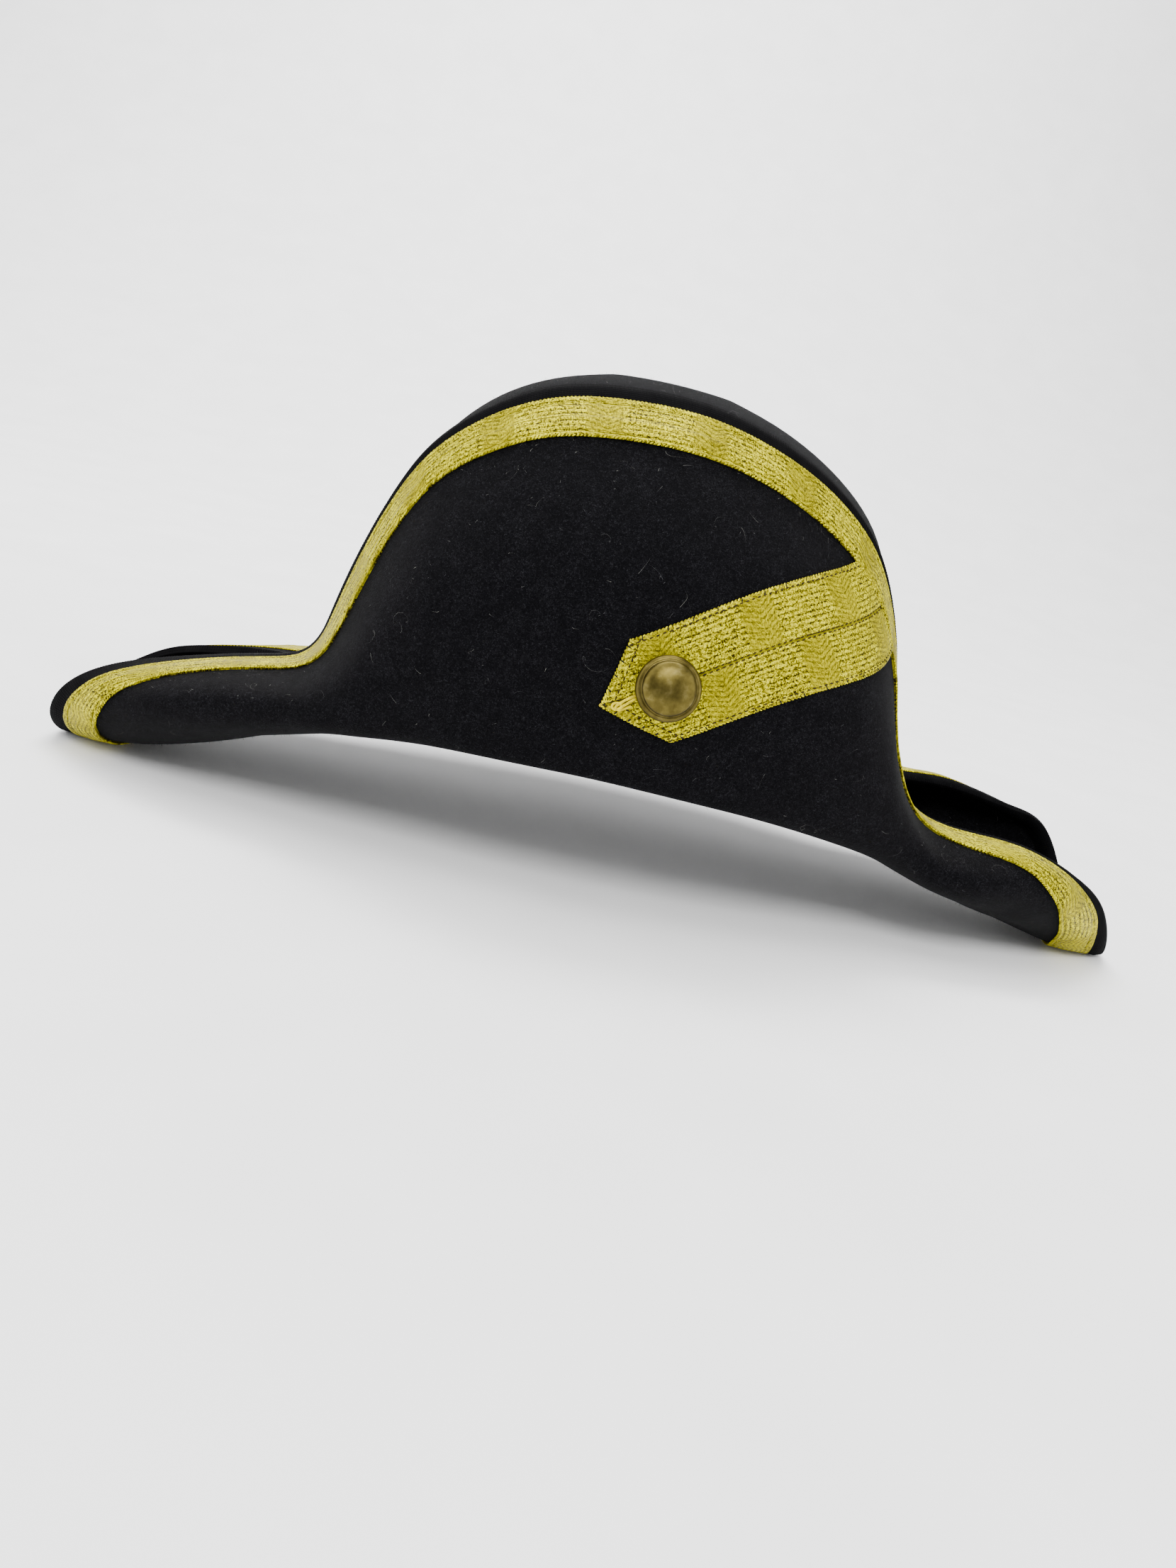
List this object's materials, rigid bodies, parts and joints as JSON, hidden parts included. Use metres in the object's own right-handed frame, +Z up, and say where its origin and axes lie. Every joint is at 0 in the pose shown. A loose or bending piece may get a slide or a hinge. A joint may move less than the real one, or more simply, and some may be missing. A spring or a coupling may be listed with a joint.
{
  "type": "bicorne hat",
  "caption": "Fore-and-aft bicorne in stiff black felt, with turned-up flaps, spouted tips, a ribbon-bound edge, gold lace, and a lace loop held by a domed gilt button.",
  "frame": {"origin": "on the surface it stands on, under the middle of the hat's box", "axes": "+Z up, +X to the rear of the hat, -Y to the wearer's left, where the loop and button are"},
  "size_m": [0.4322, 0.2029, 0.1795],
  "materials": {
    "black_felt": "matt wool felt with a short nap",
    "black_ribbon": "ribbed grosgrain, slight sheen",
    "gold_lace": "woven metallic lace, satin",
    "gilt_brass": "worn gilt, softly polished"
  },
  "bodies": {
    "root": {"felt_body": "black_felt", "edge_binding": "black_ribbon", "edge_lace": "gold_lace", "loop_lace": "gold_lace", "button": "gilt_brass"}
  },
  "joints": []
}
